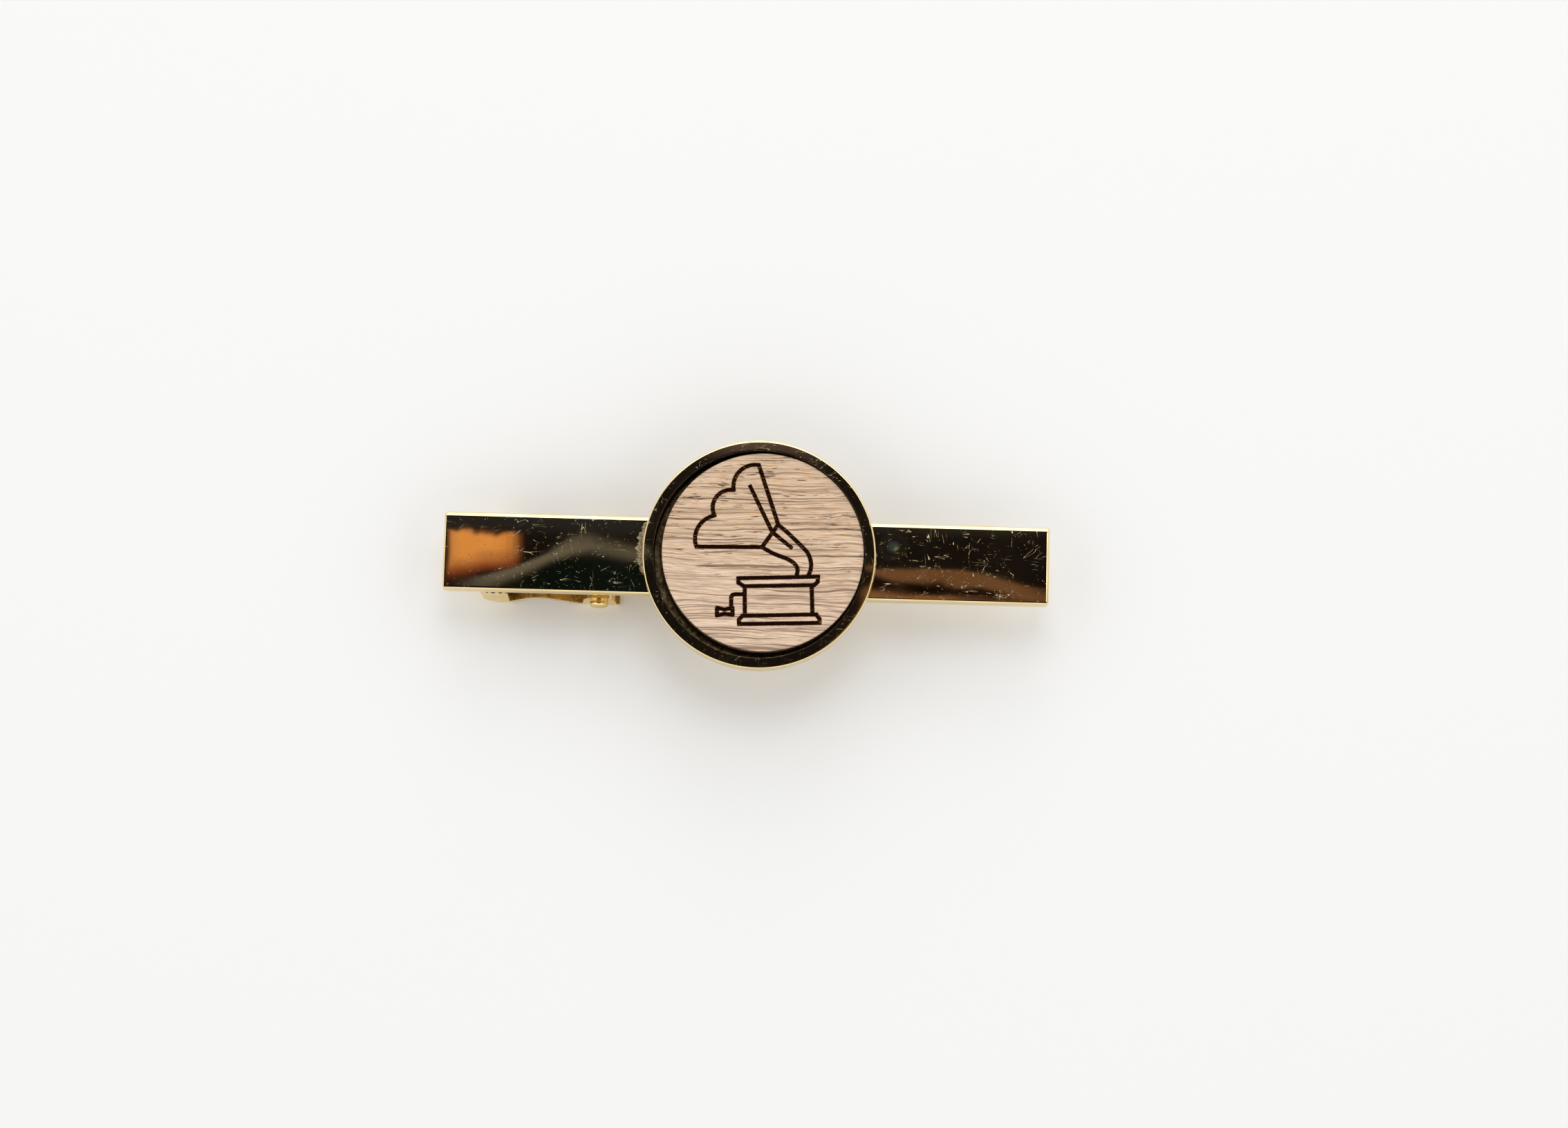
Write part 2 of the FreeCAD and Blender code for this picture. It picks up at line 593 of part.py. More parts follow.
def torsion_spring():
    """A close coil round the pin; one leg bears on the bar, one on the thumb tab."""
    wire = value(size("wire_radius"))
    radius = value(COIL_RADIUS)
    pitch = value(size("coil_pitch"))
    upper = value(size("upper_leg")), value(
        f"Sizes.bar_back - {PIN_Z} - Sizes.wire_radius - Sizes.spring_gap")
    lower = value(size("lower_leg")), value(
        f"{LEVER_FLOOR} + Sizes.lever_gauge / 2 + Sizes.tab_rise"
        " + Sizes.wire_radius + Sizes.spring_gap")
    up_slope = leg_slope(*upper, radius, 1)
    down_slope = leg_slope(*lower, radius, -1)
    start = tangent_point(up_slope, radius, 1)
    finish = tangent_point(down_slope, radius, -1)
    start_turn = math.atan2(start[1], start[0])
    finish_turn = math.atan2(finish[1], finish[0])
    part_turn = (finish_turn - start_turn) % (2 * math.pi) / (2 * math.pi)
    turns = value(size("coil_turns")) + part_turn
    length = turns * pitch
    coil = Part.makeHelix(pitch, length, radius)
    # the helix climbs its own Z axis from its own X axis: lay it along the pin
    coil.Placement = FreeCAD.Placement(
        FreeCAD.Vector(0, length / 2, 0),
        FreeCAD.Rotation(FreeCAD.Vector(1, 0, 0), 90)
        * FreeCAD.Rotation(FreeCAD.Vector(0, 0, 1), math.degrees(start_turn)))
    edge = coil.Edges[0]
    first, last = edge.FirstParameter, edge.LastParameter
    begins, ends = edge.valueAt(first), edge.valueAt(last)
    leaving = edge.tangentAt(first).normalize()
    arriving = edge.tangentAt(last).normalize()
    upper_run = (upper[0] - start[0]) / abs(leaving.x)
    lower_run = (lower[0] - finish[0]) / abs(arriving.x)
    upper_tip = begins - leaving * upper_run
    route = Part.Wire([
        Part.makeLine(upper_tip, begins), edge,
        Part.makeLine(ends, ends + arriving * lower_run)])
    section = Part.Wire([Part.makeCircle(wire, upper_tip, leaving)])
    body = doc.addObject("Part::Feature", "torsion_spring")
    body.Label = "torsion_spring"
    body.Shape = route.makePipeShell([section], True, True)
    body.Placement.Base = FreeCAD.Vector(value(PIN_X), 0, value(PIN_Z))
    return body


# ---------------------------------------------------------------- build and write

def check(pieces):
    """Stop if any object of the document or any piece's shape has failed."""
    for item in doc.Objects:
        if "Invalid" in item.State or "Error" in item.State:
            raise RuntimeError(f"{item.Name} failed: {item.State}")
    for piece in pieces:
        if piece.Shape.isNull() or not piece.Shape.isValid() or len(piece.Shape.Solids) != 1:
            raise RuntimeError(f"{piece.Label} has no sound solid")


pieces = [
    front_bar(), bezel_tray(), tray_solder(), disc_glue(), wood_disc(),
    bracket_solder(), clip_bracket(), hinge_pin(), clip_lever(), torsion_spring(),
]
doc.recompute()
check(pieces)
os.makedirs("parts", exist_ok=True)
for piece in pieces:
    piece.Shape.exportStep(f"parts/{piece.Label}.step")
    box = piece.Shape.BoundBox
    print(f"{piece.Label}: volume {piece.Shape.Volume:.3f}, X {box.XMin:.2f} {box.XMax:.2f},"
          f" Y {box.YMin:.2f} {box.YMax:.2f}, Z {box.ZMin:.2f} {box.ZMax:.2f}")
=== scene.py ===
import math

import bpy
import numpy as np
from mathutils import Matrix, Vector
from mathutils.geometry import delaunay_2d_cdt


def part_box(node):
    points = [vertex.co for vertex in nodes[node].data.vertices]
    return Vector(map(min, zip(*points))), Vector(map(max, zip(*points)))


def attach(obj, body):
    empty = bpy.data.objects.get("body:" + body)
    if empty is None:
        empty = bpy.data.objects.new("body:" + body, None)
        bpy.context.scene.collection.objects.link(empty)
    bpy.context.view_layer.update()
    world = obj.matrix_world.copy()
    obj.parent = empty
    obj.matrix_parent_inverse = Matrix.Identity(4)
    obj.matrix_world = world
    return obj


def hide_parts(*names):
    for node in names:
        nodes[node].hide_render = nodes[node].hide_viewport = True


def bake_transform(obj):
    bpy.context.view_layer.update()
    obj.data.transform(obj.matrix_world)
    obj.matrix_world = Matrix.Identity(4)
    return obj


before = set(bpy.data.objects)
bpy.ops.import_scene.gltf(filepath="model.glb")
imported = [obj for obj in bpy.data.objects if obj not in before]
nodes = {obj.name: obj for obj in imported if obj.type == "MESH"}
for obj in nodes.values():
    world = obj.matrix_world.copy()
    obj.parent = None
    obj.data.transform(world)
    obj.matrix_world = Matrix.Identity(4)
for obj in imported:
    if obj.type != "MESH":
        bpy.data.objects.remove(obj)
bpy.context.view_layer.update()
MM = 0.001
# The clip lies turned by this much in the picture: the camera rolls by it, and the motif is drawn level.
TILT = math.radians(1.57)
# The plate's lighter and deeper colours, and the one by which the room's glow is divided.
GOLD_LIGHT, GOLD_DEEP, GOLD_MIRROR = (0.88, 0.71, 0.38), (0.84, 0.66, 0.33), (0.87, 0.70, 0.37)


# ---------------------------------------------------------------- mesh helpers

def add_mesh(name, points, faces, smooth=True):
    """A new object from points in millimetres, in the row frame."""
    mesh = bpy.data.meshes.new(name)
    mesh.from_pydata([(x * MM, y * MM, z * MM) for x, y, z in points], [], faces)
    mesh.update()
    if smooth:
        mesh.shade_smooth()
    piece = bpy.data.objects.new(name, mesh)
    bpy.context.scene.collection.objects.link(piece)
    return piece


def skin(rings):
    """Points and faces of a closed skin over rings that have the same number of points."""
    count = len(rings[0])
    points = [p for ring in rings for p in ring]
    faces = []
    for level in range(len(rings) - 1):
        a, b = level * count, (level + 1) * count
        for i in range(count):
            j = (i + 1) % count
            faces.append((a + i, a + j, b + j, b + i))
    faces.append(tuple(reversed(range(count))))
    faces.append(tuple(range(len(points) - count, len(points))))
    return points, faces


def corner(centre_r, centre_z, radius_r, radius_z, start, stop, steps):
    """Points of a rounded corner in a section, from one angle to another in degrees."""
    angles = np.radians(np.linspace(start, stop, steps + 1))
    return [(centre_r + radius_r * math.cos(a), centre_z + radius_z * math.sin(a)) for a in angles]


def circle_ring(centre, radius, z, count):
    angles = np.linspace(0, 2 * math.pi, count, endpoint=False)
    return [(centre[0] + radius * math.cos(a), centre[1] + radius * math.sin(a), z) for a in angles]


def rounded_rectangle(centre, half, inset, radius, z, steps=8):
    """One ring round a rectangle with rounded corners, drawn in by inset at +Y and by half that elsewhere."""
    radius = max(radius - inset, 0.02)
    ring = []
    for quarter, (sx, sy) in enumerate(((1, 1), (-1, 1), (-1, -1), (1, -1))):
        cx = centre[0] + sx * (half[0] - inset / 2 - radius)
        cy = centre[1] + sy * (half[1] - inset * (0.75 + 0.25 * sy) - radius)
        for i in range(steps + 1):
            a = math.radians(90 * quarter + 90 * i / steps)
            ring.append((cx + radius * math.cos(a), cy + radius * math.sin(a), z))
    return ring


def millimetres(node):
    """The CAD node's lowest and highest corners in millimetres."""
    low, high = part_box(node)
    return np.array(low) / MM, np.array(high) / MM


BAR_FACE = millimetres("front_bar")[1][2]


# ---------------------------------------------------------------- node helpers

class Shader:
    """Builds one material from noise and maths, in millimetres on the piece."""

    def __init__(self, name):
        self.material = bpy.data.materials.new(name)
        self.material.use_nodes = True
        self.tree = self.material.node_tree
        self.surface = self.tree.nodes["Principled BSDF"]
        place = self.add("ShaderNodeTexCoord").outputs["Object"]
        self.mm = self.add("ShaderNodeVectorMath", {"operation": "SCALE"}, Vector=place,
                           Scale=1 / MM).outputs[0]

    def add(self, kind, settings=None, **inputs):
        node = self.tree.nodes.new(kind)
        for key, setting in (settings or {}).items():
            setattr(node, key, setting)
        for key, amount in inputs.items():
            self.feed(node.inputs[key], amount)
        return node

    def feed(self, socket, amount):
        if isinstance(amount, bpy.types.NodeSocket):
            self.tree.links.new(amount, socket)
        else:
            socket.default_value = amount

    def math(self, operation, a, b=0.0, clamp=False):
        node = self.tree.nodes.new("ShaderNodeMath")
        node.operation = operation
        node.use_clamp = clamp
        self.feed(node.inputs[0], a)
        self.feed(node.inputs[1], b)
        return node.outputs[0]

    def remap(self, amount, low, high, to_low=0.0, to_high=1.0):
        node = self.add("ShaderNodeMapRange", {"interpolation_type": "SMOOTHSTEP"})
        for index, number in enumerate((amount, low, high, to_low, to_high)):
            self.feed(node.inputs[index], number)
        return node.outputs[0]

    def stretch(self, scale, turn=0.0, shift=(0.0, 0.0, 0.0)):
        """The piece's millimetres turned about Z by degrees, shifted, then scaled."""
        turned = self.add("ShaderNodeMapping", None, Vector=self.mm, Location=shift,
                          Rotation=(0.0, 0.0, math.radians(turn)))
        return self.scaled(turned.outputs[0], scale)

    def scaled(self, vector, scale):
        node = self.add("ShaderNodeVectorMath", {"operation": "MULTIPLY"})
        self.feed(node.inputs[0], vector)
        node.inputs[1].default_value = scale
        return node.outputs[0]

    def noise(self, vector, detail=2.0, roughness=0.5):
        return self.add("ShaderNodeTexNoise", None, Vector=vector, Scale=1.0, Detail=detail,
                        Roughness=roughness).outputs[0]

    def cells(self, vector):
        """Distance from the nearest of a scatter of points."""
        return self.add("ShaderNodeTexVoronoi", None, Vector=vector, Scale=1.0).outputs["Distance"]

    def mix(self, factor, a, b):
        node = self.add("ShaderNodeMix", {"data_type": "RGBA"})
        self.feed(node.inputs[0], factor)
        self.feed(node.inputs[6], a)
        self.feed(node.inputs[7], b)
        return node.outputs[2]

    def attribute(self, name):
        return self.add("ShaderNodeAttribute", {"attribute_name": name}).outputs["Fac"]

    def bump(self, height, distance, strength=1.0, normal=None):
        node = self.add("ShaderNodeBump", None, Height=height, Distance=distance, Strength=strength)
        if normal:
            self.feed(node.inputs["Normal"], normal)
        return node.outputs[0]

    def set(self, **sockets):
        """Feeds the surface's own sockets; underscores in a name stand for spaces."""
        for key, amount in sockets.items():
            self.feed(self.surface.inputs[key.replace("_", " ")], amount)
        return self.material


def rgb(red, green, blue):
    return (red, green, blue, 1.0)


# ---------------------------------------------------------------- materials

def gold(name, polish, haze, wave, scratch=1.0):
    """Gold plate with smudges, dust and hairline scratches over a slightly uneven base."""
    s = Shader(name)
    smudge = s.remap(s.noise(s.stretch((0.16, 0.24, 0.2), 20.0), 4.0, 0.6), 0.42, 0.72)
    tone = s.noise(s.stretch((0.35, 0.5, 0.5)), 3.0)
    marks = None
    for turn, long, thin in ((5.0, 0.25, 2.4), (-33.0, 0.4, 2.0), (82.0, 0.5, 2.2)):
        field = s.noise(s.stretch((long, thin, long), turn, (3.1 * turn, 1.7 * turn, 0.4)), 1.0)
        line = s.remap(s.math("ABSOLUTE", s.math("SUBTRACT", field, 0.5)), 0.0, 0.009, 1.0, 0.0)
        short = s.remap(s.noise(s.stretch((0.9, 1.3, 1.0), turn, (turn, 2.0, 1.0)), 2.0), 0.55, 0.66)
        line = s.math("MULTIPLY", line, short)
        marks = line if marks is None else s.math("MAXIMUM", marks, line)
    marks = s.math("MULTIPLY", marks, 0.7 * scratch)
    fine = s.remap(s.cells(s.stretch((3.2, 3.2, 3.2))), 0.035, 0.075, 1.0, 0.0)
    coarse = s.remap(s.cells(s.stretch((1.5, 1.5, 1.5))), 0.03, 0.06, 1.0, 0.0)
    worn = s.math("MAXIMUM", marks, s.math("MAXIMUM", fine, coarse), True)
    rough = s.math("ADD", s.math("MULTIPLY", smudge, haze), polish)
    s.set(Metallic=1.0,
          Base_Color=s.mix(s.remap(tone, 0.3, 0.7), rgb(*GOLD_LIGHT), rgb(*GOLD_DEEP)),
          Roughness=s.math("ADD", rough, s.math("MULTIPLY", worn, 0.42), True),
          Normal=s.bump(s.noise(s.stretch((0.11, 0.2, 0.2)), 1.5), wave * MM))
    return s.material


def pressed_gold():
    """Gold plate over sheet from the press, with faint rolling lines, patches of grime and dull specks."""
    s = Shader("pressed_gold")
    rolled = s.noise(s.stretch((0.7, 14.0, 5.0)), 3.0, 0.6)
    tone = s.noise(s.stretch((0.5, 0.7, 0.7)), 3.0)
    grime = s.remap(s.noise(s.stretch((1.1, 1.3, 1.6)), 4.0, 0.65), 0.52, 0.78)
    specks = s.remap(s.cells(s.stretch((1.9, 1.9, 1.9))), 0.05, 0.09, 1.0, 0.0)
    rough = s.math("ADD", s.remap(rolled, 0.3, 0.7, 0.18, 0.28), s.math("MULTIPLY", grime, 0.12))
    base = s.mix(s.remap(tone, 0.3, 0.7), rgb(0.92, 0.72, 0.33), rgb(0.86, 0.63, 0.25))
    s.set(Metallic=1.0,
          Base_Color=s.mix(s.math("MULTIPLY", grime, 0.25), base, rgb(0.50, 0.35, 0.14)),
          Roughness=s.math("ADD", rough, s.math("MULTIPLY", specks, 0.35), True),
          Normal=s.bump(rolled, 0.000006, 0.6, s.bump(tone, 0.00002, 0.6)))
    return s.material


def shaded_recess_gold():
    """The unpolished inside of the tray, painted near black and mottled as shade in the recess."""
    s = Shader("shaded_recess_gold")
    shade_mottle = s.noise(s.stretch((2.5, 2.5, 2.5)), 4.0, 0.6)
    # Painted shade: the near-black base colour makes the recess wall look dark, as if in shadow.
    s.set(Metallic=1.0,
          Base_Color=s.mix(s.remap(shade_mottle, 0.35, 0.65), rgb(0.11, 0.075, 0.035), rgb(0.03, 0.02, 0.011)),
          Roughness=s.remap(shade_mottle, 0.3, 0.7, 0.3, 0.5),
          Normal=s.bump(shade_mottle, 0.00003, 0.5))
    return s.material


def spring_wire():
    """Plated wire, a little worn."""
    s = Shader("spring_wire")
    drawn = s.noise(s.stretch((2.0, 2.0, 2.0)), 4.0, 0.6)
    s.set(Metallic=1.0,
          Base_Color=s.mix(s.remap(drawn, 0.35, 0.7), rgb(0.80, 0.60, 0.25), rgb(0.60, 0.43, 0.17)),
          Roughness=s.remap(drawn, 0.3, 0.7, 0.16, 0.3),
          Normal=s.bump(s.noise(s.stretch((7.0, 7.0, 7.0)), 2.0), 0.000008, 0.5))
    return s.material


def solder():
    """Matt, grainy solder under thin plate."""
    s = Shader("solder")
    grain = s.noise(s.stretch((6.0, 6.0, 6.0)), 5.0, 0.7)
    lumps = s.noise(s.stretch((1.6, 1.6, 1.6)), 2.0)
    s.set(Metallic=1.0,
          Base_Color=s.mix(s.remap(grain, 0.38, 0.66), rgb(0.11, 0.085, 0.05), rgb(0.52, 0.44, 0.29)),
          Roughness=s.remap(grain, 0.35, 0.65, 0.35, 0.6),
          Normal=s.bump(grain, 0.00009, 0.9, s.bump(lumps, 0.0002, 0.5)))
    return s.material


def clear_glue():
    """Yellowed glue with small bubbles in it."""
    s = Shader("clear_glue")
    bubbles = s.remap(s.cells(s.stretch((2.5, 2.5, 2.5))), 0.1, 0.3)
    s.set(Base_Color=s.mix(bubbles, rgb(0.42, 0.30, 0.14), rgb(0.20, 0.13, 0.06)),
          Roughness=s.remap(bubbles, 0.0, 1.0, 0.12, 0.28),
          Normal=s.bump(bubbles, 0.00002, 0.5), Coat_Weight=0.4)
    return s.material


def engraved_wood():
    """Open-grained pale wood with burnt engraving and a charred edge."""
    s = Shader("engraved_wood")
    drift = s.noise(s.stretch((0.16, 0.35, 0.3)), 2.0)
    flow = s.add("ShaderNodeVectorMath", {"operation": "ADD"})
    s.feed(flow.inputs[0], s.stretch((1.0, 1.0, 1.0), -0.5))
    sway = s.remap(drift, 0.25, 0.75, -0.16, 0.16)
    s.feed(flow.inputs[1], s.add("ShaderNodeCombineXYZ", None, Y=sway).outputs[0])
    flow = flow.outputs[0]
    streaks = s.noise(s.scaled(flow, (0.10, 3.6, 1.0)), 3.0, 0.62)
    lines = s.noise(s.scaled(flow, (0.16, 7.5, 1.0)), 3.0, 0.65)
    fibre = s.noise(s.scaled(flow, (0.8, 15.0, 1.0)), 2.0, 0.6)
    bands = s.noise(s.scaled(flow, (0.05, 0.5, 1.0)), 1.5)
    upper = s.remap(s.add("ShaderNodeSeparateXYZ", None, Vector=s.mm).outputs["Y"], -5.0, 3.0)
    tan = s.mix(s.remap(bands, 0.35, 0.65), rgb(0.86, 0.645, 0.485), rgb(0.79, 0.575, 0.415))
    tan = s.mix(s.math("MULTIPLY", upper, 0.55), tan, rgb(0.71, 0.50, 0.315))
    tan = s.mix(s.remap(lines, 0.52, 0.7, 0.0, 0.75), tan, rgb(1.0, 0.80, 0.62))
    grey = s.remap(streaks, 0.40, 0.50, 1.0, 0.0)
    tan = s.mix(s.math("MULTIPLY", grey, s.remap(lines, 0.35, 0.6, 0.8, 0.3)), tan, rgb(0.225, 0.13, 0.07))
    thin = s.remap(s.noise(s.scaled(flow, (0.06, 4.4, 1.0)), 2.0, 0.6), 0.37, 0.42, 1.0, 0.0)
    tan = s.mix(s.math("MULTIPLY", thin, 0.75), tan, rgb(0.105, 0.052, 0.022))
    tan = s.mix(s.remap(fibre, 0.35, 0.6, 0.4, 0.0), tan, rgb(0.34, 0.22, 0.145))
    where = s.remap(s.noise(s.scaled(flow, (0.25, 1.6, 1.0)), 2.0), 0.47, 0.56)
    pore = s.remap(s.noise(s.scaled(flow, (0.75, 10.0, 1.0)), 2.0, 0.55), 0.585, 0.64)
    pore = s.math("MULTIPLY", pore, s.math("MULTIPLY", where, s.remap(upper, 0.0, 1.0, 0.3, 1.0)))
    tan = s.mix(pore, tan, rgb(0.06, 0.027, 0.013))
    gilt = s.remap(s.noise(s.scaled(flow, (0.7, 9.0, 1.0)), 2.0, 0.5), 0.62, 0.69)
    tan = s.mix(s.math("MULTIPLY", gilt, s.math("MULTIPLY", upper, 0.75)), tan, rgb(0.58, 0.29, 0.075))

    burn, groove, char = s.attribute("burn"), s.attribute("groove"), s.attribute("char")
    wobble = s.noise(s.stretch((5.0, 12.0, 5.0)), 3.0, 0.6)
    halo = s.remap(s.math("MULTIPLY", burn, s.remap(wobble, 0.3, 0.7, 0.5, 1.25)), 0.15, 1.0)
    tan = s.mix(s.math("MULTIPLY", halo, 0.85), tan, rgb(0.10, 0.035, 0.012))
    teeth = s.noise(s.scaled(s.mm, (1.6, 9.0, 1.0)), 2.0, 0.5)
    amber = s.math("MULTIPLY", s.remap(teeth, 0.58, 0.68), s.remap(char, 0.8, 0.97, 0.7, 0.04))
    floor = s.mix(amber, rgb(0.014, 0.0035, 0.001), rgb(0.36, 0.165, 0.033))
    tan = s.mix(s.remap(groove, 0.05, 0.6), tan, floor)
    raised = s.math("ADD", s.math("MULTIPLY", lines, 0.5), fibre)
    height = s.math("SUBTRACT", raised, s.math("MULTIPLY", pore, 1.6))
    s.set(Base_Color=tan,
          Roughness=s.remap(streaks, 0.3, 0.7, 0.62, 0.5),
          Normal=s.bump(height, 0.00003, 0.55),
          Specular_IOR_Level=s.remap(groove, 0.0, 0.6, 0.16, 0.02))
    return s.material


# ---------------------------------------------------------------- polished front

# Millimetres. The bar's rolled edge is given as its reach along the face and its depth.
BAR_EDGE, BAR_FOOT, BAR_CORNER = (0.36, 0.24), 0.08, 0.3
RIM_WIDTH, TRAY_FLOOR, TRAY_FOOT = 0.925, 0.45, 0.45
RIM_OUTER_EDGE, RIM_INNER_EDGE = 0.13, 0.04
# How far the solder reaches under the tray's foot, and how far it stands off and sinks into the bar's face.
SOLDER_TUCK, SOLDER_LIFT, SOLDER_SINK = 0.42, 0.004, 0.02


def polished_bar():
    """The bar with its polished, rolled edges."""
    low, high = millimetres("front_bar")
    centre, half = (low + high) / 2, (high - low) / 2
    section = corner(BAR_FOOT, low[2] + BAR_FOOT, BAR_FOOT, BAR_FOOT, 270, 180, 4)
    section += corner(BAR_EDGE[0], high[2] - BAR_EDGE[1], *BAR_EDGE, 180, 90, 14)
    section += [(0.55, high[2]), (0.75, high[2])]
    rings = [rounded_rectangle(centre, half, inset, BAR_CORNER, z) for inset, z in section]
    points, faces = skin(rings)
    return add_mesh("polished_bar", points, faces)


def polished_tray():
    """The tray turned about its own axis, with rolled rim edges."""
    low, high = millimetres("bezel_tray")
    centre, outer = (low + high) / 2, (high[0] - low[0]) / 2
    base, top, inner, floor = low[2], high[2], outer - RIM_WIDTH, low[2] + TRAY_FLOOR
    section = corner(outer - TRAY_FOOT, base + TRAY_FOOT, TRAY_FOOT, TRAY_FOOT, 270, 360, 10)
    edge = RIM_OUTER_EDGE
    section += corner(outer - edge, top - edge, edge, edge, 0, 90, 12)
    section += [(outer - 0.2, top), (inner + 0.14, top)]
    edge = RIM_INNER_EDGE
    section += corner(inner + edge, top - edge, edge, edge, 90, 180, 8)
    section += [(inner, floor + 0.12), (inner - 0.04, floor + 0.02), (inner - 0.12, floor)]
    rings = [circle_ring(centre, radius, z, 360) for radius, z in section]
    points, faces = skin(rings)
    tray = add_mesh("polished_tray", points, faces)
    # The second material paints shade, near black, on the inside of the recess below the rim.
    for face in tray.data.polygons:
        reach = max(math.hypot(points[v][0] - centre[0], points[v][1] - centre[1]) for v in face.vertices)
        if reach < inner + 0.06 and min(points[v][2] for v in face.vertices) > base + 0.1:
            face.material_index = 1
    return tray


def solder_bead(side, spread, lean, reach, rise):
    """Solder drawn up between the tray's foot and the bar, at one side of the tray."""
    low, high = millimetres("bezel_tray")
    centre, outer = (low + high) / 2, (high[0] - low[0]) / 2
    columns, rows = 60, 14
    top, bottom = [], []
    for i in range(columns + 1):
        t = i / columns
        a = math.radians((t * 2 - 1) * spread + lean)
        end = math.sin(math.pi * t) ** 0.5
        ragged = 0.8 + 0.14 * math.sin(31 * t) + 0.09 * math.sin(71 * t + 1) + 0.05 * math.sin(133 * t)
        for j in range(rows + 1):
            u = j / rows
            r = outer - SOLDER_TUCK + (SOLDER_TUCK + reach * ragged * end) * u
            lump = 1 + 0.16 * math.sin(41 * t + 5 * u) * math.sin(9 * u + 17 * t)
            z = BAR_FACE + SOLDER_LIFT + rise * end * lump * (1 - u) ** 1.7
            x, y = centre[0] + side * r * math.cos(a), centre[1] + r * math.sin(a)
            top.append((x, y, z))
            bottom.append((x, y, BAR_FACE - SOLDER_SINK))
    count = len(top)
    faces = []
    outward = 1 if side > 0 else -1
    for i in range(columns):
        for j in range(rows):
            a, b = i * (rows + 1) + j, (i + 1) * (rows + 1) + j
            quad = (a, a + 1, b + 1, b)
            faces.append(quad[::outward])
            faces.append(tuple(count + k for k in quad[::-outward]))
    border = [i * (rows + 1) for i in range(columns + 1)]
    border += [columns * (rows + 1) + j for j in range(1, rows + 1)]
    border += [i * (rows + 1) + rows for i in range(columns - 1, -1, -1)]
    border += list(range(rows - 1, 0, -1))
    for a, b in zip(border, border[1:] + border[:1]):
        faces.append((a, b, count + b, count + a)[::outward])
    return add_mesh("solder_bead_left" if side < 0 else "solder_bead_right", top + bottom, faces)


# ---------------------------------------------------------------- wooden disc

def bow(start, end, rise, steps=12):
    """Points of an arc between two points that stands out to the left by rise."""
    (x0, y0), (x1, y1) = start, end
    dx, dy = x1 - x0, y1 - y0
    chord = math.hypot(dx, dy)
    radius = chord * chord / (8 * rise) + rise / 2
    cx = (x0 + x1) / 2 + dy / chord * (radius - rise)
    cy = (y0 + y1) / 2 - dx / chord * (radius - rise)
    first = math.atan2(y0 - cy, x0 - cx)
    sweep = -2 * math.asin(min(1.0, chord / (2 * radius)))
    return [(cx + radius * math.cos(first + sweep * i / steps),
             cy + radius * math.sin(first + sweep * i / steps)) for i in range(steps + 1)]


def smooth(points, steps=5):
    """A Catmull-Rom curve through the points."""
    p = [points[0]] + list(points) + [points[-1]]
    out = []
    for i in range(1, len(p) - 2):
        a, b, c, d = (np.array(q, float) for q in p[i - 1:i + 3])
        for t in np.linspace(0, 1, steps, endpoint=False):
            out.append(tuple(0.5 * (2 * b + (c - a) * t + (2 * a - 5 * b + 4 * c - d) * t * t
                                    + (3 * b - a - 3 * c + d) * t ** 3)))
    return out + [tuple(points[-1])]


def motif():
    """Centrelines of a plain line drawing of a horn gramophone, in millimetres from the disc's centre."""
    tip, throat, low_throat, lip = (-0.35, 7.65), (1.32, 2.4), (-0.08, 0.42), (-5.7, 0.46)
    notch_high, notch_low = (-2.5, 5.45), (-4.15, 3.2)
    lines = [
        [tip, throat],
        bow(notch_high, tip, 0.8),
        bow(notch_low, notch_high, 0.85),
        bow(lip, notch_low, 0.72),
        [lip, low_throat],
        [throat, low_throat],
        [(-1.1, 5.8), (0.8, 1.75)],
        [(0.8, 1.75), (2.45, 0.38)],
        smooth([throat, (2.2, 1.62), (3.15, 0.68), (3.85, -0.1), (4.13, -0.95), (4.08, -1.6), (3.85, -2.15)]),
        smooth([low_throat, (1.0, -0.18), (2.15, -0.64), (2.75, -1.08), (2.98, -1.6), (2.85, -2.15)]),
        [(-2.15, -2.3), (4.78, -2.16)],
        [(-2.1, -2.3), (-2.1, -2.7), (-1.6, -3.0)],
        [(4.72, -2.2), (4.7, -2.64), (4.36, -2.92)],
        [(-1.65, -3.0), (4.4, -2.9)],
        [(-1.55, -3.0), (-1.54, -5.5)],
        [(4.18, -2.95), (4.24, -5.4)],
        [(-1.76, -5.58), (4.6, -5.46)],
        [(-1.74, -5.58), (-2.05, -5.92), (-2.04, -6.32)],
        [(4.57, -5.48), (4.84, -5.84), (4.86, -6.24)],
        [(-2.04, -6.3), (4.86, -6.2)],
        [(-1.6, -3.7), (-2.4, -3.7), (-2.6, -3.76), (-2.7, -3.92), (-2.71, -4.85)],
        [(-3.92, -4.88), (-3.28, -5.04), (-2.6, -4.88)],
        [(-2.6, -4.88), (-2.58, -5.5)],
        [(-2.58, -5.5), (-3.28, -5.4), (-3.92, -5.56)],
        [(-3.92, -5.56), (-3.92, -4.88)],
    ]
    c, s = math.cos(TILT), math.sin(TILT)
    return [[(x * c - y * s, x * s + y * c) for x, y in line] for line in lines]


def ribbon(line, width):
    """The outline of a stroke of one width along a line, with square ends."""
    points = [np.array(p, float) for p in line]
    half = width / 2
    steps = [b - a for a, b in zip(points, points[1:])]
    steps = [d / np.linalg.norm(d) for d in steps]
    points[0] = points[0] - steps[0] * half * 0.7
    points[-1] = points[-1] + steps[-1] * half * 0.7
    left, right = [], []
    for i, p in enumerate(points):
        before, after = steps[max(i - 1, 0)], steps[min(i, len(steps) - 1)]
        mean = before + after
        mean = mean / np.linalg.norm(mean)
        side = np.array((-mean[1], mean[0])) * half / max(float(mean @ after), 0.6)
        left.append(tuple(p + side))
        right.append(tuple(p - side))
    return right + left[::-1]


